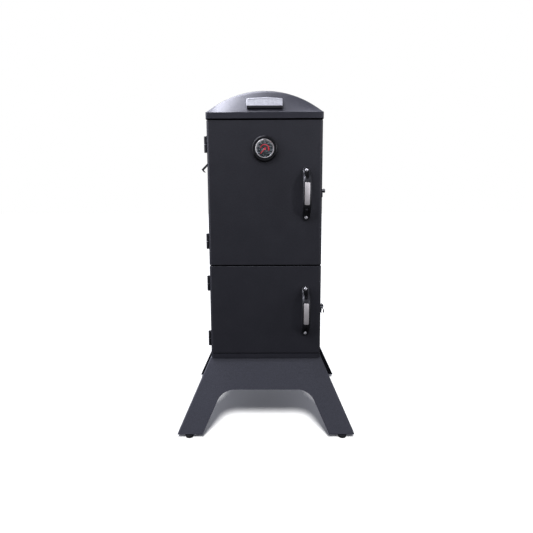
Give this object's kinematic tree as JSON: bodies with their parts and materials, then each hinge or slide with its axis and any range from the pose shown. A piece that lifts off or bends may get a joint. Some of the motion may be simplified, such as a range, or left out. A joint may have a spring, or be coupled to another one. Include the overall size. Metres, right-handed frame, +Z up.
{
  "type": "cabinet smoker",
  "caption": "Upright two-door cabinet smoker with an arched roof, bow handles, dial thermometer and side catches, on splayed sheet legs.",
  "frame": {"origin": "on the floor, under the middle of the cabinet", "axes": "+Z up, -Y towards the doors, +X towards the handle and catch side"},
  "size_m": [0.647, 0.605, 1.249],
  "materials": {
    "cabinet_coat": "fine textured powder coat",
    "roof_coat": "satin powder coat",
    "door_coat": "fine textured powder coat",
    "leg_coat": "fine textured powder coat",
    "liner_steel": "aluminised sheet",
    "badge_metal": "satin",
    "foot_plastic": "matt",
    "zinc_steel": "zinc plated",
    "hinge_steel": "powder coat",
    "gasket_rope": "braided glass rope",
    "handle_resin": "satin moulded resin",
    "black_bolts": "black oxide",
    "insert_steel": "brushed stainless",
    "case_black": "gloss black",
    "ring_chrome": "polished",
    "dial_face": "satin black",
    "dial_glass": "clear",
    "needle_red": "satin red",
    "probe_steel": "bright",
    "cam_steel": "bright",
    "catch_casting": "black",
    "grid_wire": "stainless wire",
    "pan_enamel": "gloss enamel",
    "basket_steel": "heat darkened",
    "damper_steel": "satin",
    "opener_coat": "powder coat"
  },
  "bodies": {
    "cabinet": {"ash_pan": "pan_enamel", "back_liner": "liner_steel", "back_panel": "cabinet_coat", "badge_backing": "foot_plastic", "badge_plate": "badge_metal", "basket_rails": "liner_steel", "bottle_opener": "opener_coat", "cabinet_hinge_leaves": "hinge_steel", "catch_bases": "catch_casting", "charcoal_basket": "basket_steel", "cooking_grid_1": "grid_wire", "cooking_grid_2": "grid_wire", "cooking_grid_3": "grid_wire", "cooking_grid_4": "grid_wire", "damper_bolts": "zinc_steel", "divider_shelf": "liner_steel", "face_frame": "cabinet_coat", "floor_pan": "cabinet_coat", "front_leg_panel": "leg_coat", "glide_feet": "foot_plastic", "hinge_washers": "zinc_steel", "left_side_panel": "cabinet_coat", "leg_bolts": "zinc_steel", "leg_braces": "leg_coat", "opener_screws": "zinc_steel", "rack_ladders": "liner_steel", "rear_leg_panel": "leg_coat", "right_side_panel": "cabinet_coat", "roof_cap": "roof_coat", "side_liners": "liner_steel", "top_panel": "cabinet_coat", "water_pan": "pan_enamel"},
    "upper_door": {"upper_door_skin": "door_coat", "upper_door_liner": "liner_steel", "upper_door_gasket": "gasket_rope", "upper_door_hinge_leaves": "hinge_steel", "upper_door_handle": "handle_resin", "upper_handle_bolts": "black_bolts", "upper_handle_insert": "insert_steel", "thermometer_case": "case_black", "thermometer_ring": "ring_chrome", "thermometer_dial": "dial_face", "thermometer_lens": "dial_glass", "thermometer_stem": "probe_steel", "upper_keeper_stud": "zinc_steel"},
    "lower_door": {"lower_door_skin": "door_coat", "lower_door_liner": "liner_steel", "lower_door_gasket": "gasket_rope", "lower_door_hinge_leaves": "hinge_steel", "lower_door_handle": "handle_resin", "lower_handle_bolts": "black_bolts", "lower_handle_insert": "insert_steel", "lower_keeper_stud": "zinc_steel"},
    "upper_catch": {"upper_catch_cam": "cam_steel", "upper_catch_lever": "handle_resin"},
    "lower_catch": {"lower_catch_cam": "cam_steel", "lower_catch_lever": "handle_resin"},
    "needle": {"thermometer_needle": "needle_red"},
    "exhaust_disc": {"exhaust_damper": "damper_steel"},
    "intake_disc": {"intake_damper": "damper_steel"}
  },
  "joints": [
    {"name": "upper_door_hinge", "type": "hinge", "parent": "cabinet", "child": "upper_door", "pos_m": [-0.212, -0.172, 0.887], "axis": [0, 0, -1], "range_deg": [0, 120]},
    {"name": "lower_door_hinge", "type": "hinge", "parent": "cabinet", "child": "lower_door", "pos_m": [-0.212, -0.172, 0.4485], "axis": [0, 0, -1], "range_deg": [0, 120]},
    {"name": "upper_catch_pivot", "type": "hinge", "parent": "cabinet", "child": "upper_catch", "pos_m": [0.2127, -0.158, 0.896], "axis": [-1, 0, 0], "range_deg": [0, 180]},
    {"name": "lower_catch_pivot", "type": "hinge", "parent": "cabinet", "child": "lower_catch", "pos_m": [0.2127, -0.158, 0.463], "axis": [-1, 0, 0], "range_deg": [0, 90]},
    {"name": "needle_spindle", "type": "hinge", "parent": "upper_door", "child": "needle", "pos_m": [0, -0.2165, 1.0406], "axis": [0, 1, 0], "range_deg": [0, 270]},
    {"name": "exhaust_damper_pivot", "type": "hinge", "parent": "cabinet", "child": "exhaust_disc", "pos_m": [0, 0.2088, 1.076], "axis": [0, 1, 0], "range_deg": [0, 45]},
    {"name": "intake_damper_pivot", "type": "hinge", "parent": "cabinet", "child": "intake_disc", "pos_m": [0, 0.2088, 0.35], "axis": [0, 1, 0], "range_deg": [0, 45]}
  ]
}
